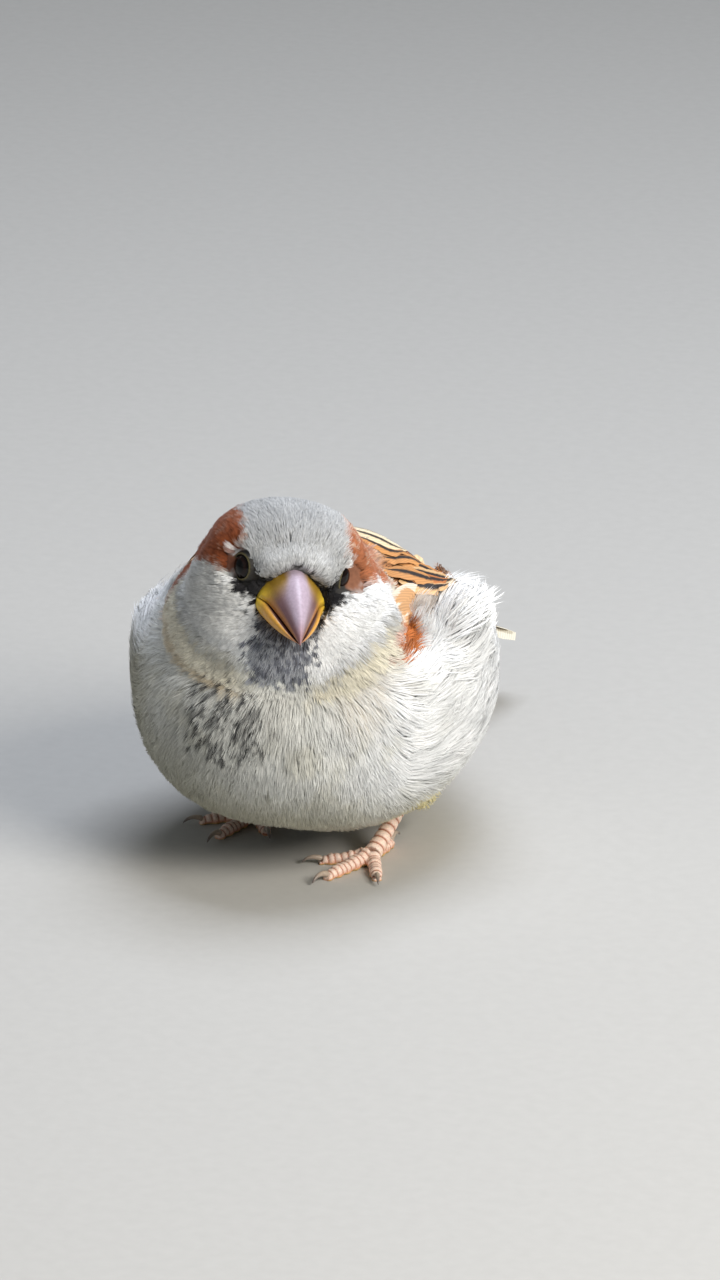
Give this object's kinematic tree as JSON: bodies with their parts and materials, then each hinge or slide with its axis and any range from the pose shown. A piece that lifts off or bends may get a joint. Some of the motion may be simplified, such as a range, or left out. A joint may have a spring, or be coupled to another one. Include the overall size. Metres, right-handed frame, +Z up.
{
  "type": "house sparrow",
  "caption": "Adult male house sparrow standing low with fluffed plumage, head turned a little to its left, one foot ahead of the other.",
  "frame": {"origin": "on the floor, at the middle of the base of the whole bird's box", "axes": "+Z up; the bird faces -Y and its tail points along +Y; its left side is +X"},
  "size_m": [0.0642, 0.1296, 0.0679],
  "materials": {
    "head_plumage": "soft short feathers: grey crown, chestnut sides, pale cheeks, black bib",
    "neck_plumage": "soft loose feathers, off-white with a cream border",
    "body_plumage": "long loose off-white feathers, buff and black streaked mantle",
    "wing_plumage": "firm vanes, dark with chestnut and buff edges",
    "tail_plumage": "firm vanes, dark brown with buff edges",
    "bill_horn": "satin horn, pinkish grey above, yellow at the gape and below",
    "eye": "wet gloss, very dark brown, as a museum's glass eye",
    "leg_skin": "scaly skin, orange-pink",
    "claw_horn": "satin horn, grey-brown with a darker tip"
  },
  "bodies": {
    "root": {"head": "head_plumage", "neck": "neck_plumage", "trunk": "body_plumage", "tail": "tail_plumage", "wing_left": "wing_plumage", "wing_right": "wing_plumage", "bill_upper": "bill_horn", "bill_lower": "bill_horn", "eye_left": "eye", "eye_right": "eye", "thigh_left": "body_plumage", "thigh_right": "body_plumage", "tarsus_left": "leg_skin", "tarsus_right": "leg_skin", "toe_inner_left": "leg_skin", "toe_middle_left": "leg_skin", "toe_outer_left": "leg_skin", "toe_hallux_left": "leg_skin", "toe_inner_right": "leg_skin", "toe_middle_right": "leg_skin", "toe_outer_right": "leg_skin", "toe_hallux_right": "leg_skin", "claw_inner_left": "claw_horn", "claw_middle_left": "claw_horn", "claw_outer_left": "claw_horn", "claw_hallux_left": "claw_horn", "claw_inner_right": "claw_horn", "claw_middle_right": "claw_horn", "claw_outer_right": "claw_horn", "claw_hallux_right": "claw_horn"}
  },
  "joints": []
}
